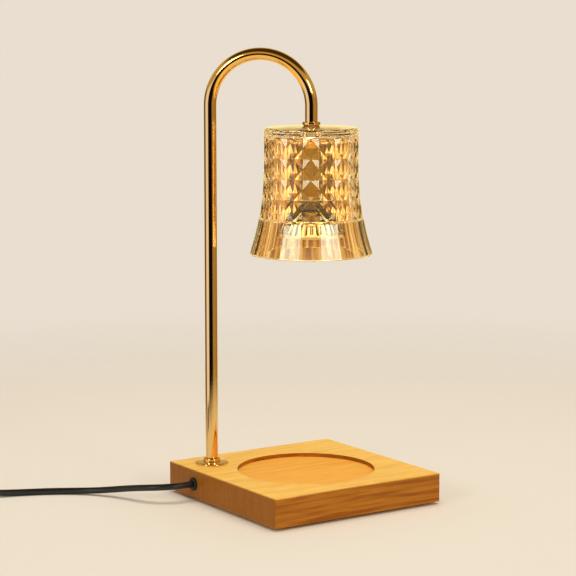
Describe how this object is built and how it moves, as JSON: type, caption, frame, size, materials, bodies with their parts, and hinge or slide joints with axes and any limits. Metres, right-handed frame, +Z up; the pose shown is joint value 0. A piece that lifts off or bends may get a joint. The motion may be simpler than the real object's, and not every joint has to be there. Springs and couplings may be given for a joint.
{
  "type": "candle warmer lamp",
  "caption": "Candle warmer lamp: an arched tube on a square wooden base holds a faceted glass shade and a reflector bulb over a candle recess, with a dimmer on the cord.",
  "frame": {"origin": "on the table, under the middle of the square base", "axes": "+Z up; the base's sides run along X and Y; the post stands at the -X +Y corner, the cord leaves the -X side, and the candle recess opens upwards"},
  "size_m": [0.4429, 0.2313, 0.345],
  "materials": {
    "beech": "clear satin lacquer on solid beech",
    "eva_pad": "closed-cell EVA foam, matt black",
    "gold_plate": "polished, light gold plating",
    "cover_plastic": "black ABS sheet, matt",
    "zinc_steel": "zinc-plated steel",
    "black_rubber": "moulded black PVC, matt",
    "nylon": "natural nylon",
    "cord_sheath": "smooth black PVC sheath, semi-matt",
    "lead_sleeve": "pair of silicone-covered leads in one sleeve",
    "silicone": "translucent silicone",
    "amber_glass": "pressed amber glass, fire-polished",
    "ceramic": "white glazed ceramic",
    "contact_brass": "sprung brass strip",
    "bulb_cap": "white ceramic bulb base",
    "reflector_coat": "aluminium-coated fluted glass",
    "clear_glass": "clear pressed glass",
    "tungsten": "tungsten wire",
    "nickel": "nickel-plated brass",
    "dimmer_case": "fine-textured black ABS",
    "wheel_plastic": "smooth dark grey ABS",
    "board": "green circuit board",
    "pot_steel": "stamped steel can",
    "hook_loop": "black hook-and-loop tape",
    "plug_pvc": "moulded black PVC, fine matt"
  },
  "bodies": {
    "stand": {"base_block": "beech", "base_pad": "eva_pad", "bottom_cover": "cover_plastic", "cover_screws": "zinc_steel", "post_flange": "gold_plate", "post_collar": "gold_plate", "arch_tube": "gold_plate", "post_nipple": "zinc_steel", "post_washers": "zinc_steel", "post_nut": "zinc_steel", "cord_grommet": "black_rubber", "cord_clip": "nylon", "clip_screw": "zinc_steel", "sheathed_cord": "cord_sheath", "lamp_leads": "lead_sleeve", "shade_collar": "gold_plate", "shade_seals": "silicone", "glass_shade": "amber_glass", "shade_washer": "gold_plate", "shade_nut": "gold_plate", "shade_nipple": "zinc_steel", "socket_cup": "gold_plate", "cup_nut": "zinc_steel", "socket_ceramic": "ceramic", "socket_contacts": "contact_brass", "socket_screws": "zinc_steel", "cord_lead": "cord_sheath", "cord_tail": "cord_sheath", "cord_end": "cord_sheath", "cord_coil": "cord_sheath", "cord_tie": "hook_loop", "dimmer_base": "dimmer_case", "dimmer_lid": "dimmer_case", "dimmer_screws": "zinc_steel", "dimmer_board": "board", "dimmer_pot": "pot_steel", "dimmer_sleeves": "black_rubber", "dimmer_cord_ends": "cord_sheath", "plug_relief": "plug_pvc", "plug_body": "plug_pvc", "plug_blades": "nickel"},
    "bulb": {"bulb_base": "bulb_cap", "bulb_pins": "nickel", "bulb_ferrule": "reflector_coat", "bulb_reflector": "reflector_coat", "bulb_lens": "clear_glass", "bulb_capsule": "clear_glass", "bulb_filament": "tungsten"},
    "thumbwheel": {"dimmer_wheel": "wheel_plastic", "dimmer_spindle": "nylon"}
  },
  "joints": [
    {"name": "bulb_twist", "type": "hinge", "parent": "stand", "child": "bulb", "pos_m": [0.0043, -0.0043, 0.25], "axis": [0, 0, 1], "range_deg": [0, 25]},
    {"name": "dimmer_turn", "type": "hinge", "parent": "stand", "child": "thumbwheel", "pos_m": [-0.282, 0.1443, 0.009], "axis": [0, 0, 1], "range_deg": [0, 270]}
  ]
}
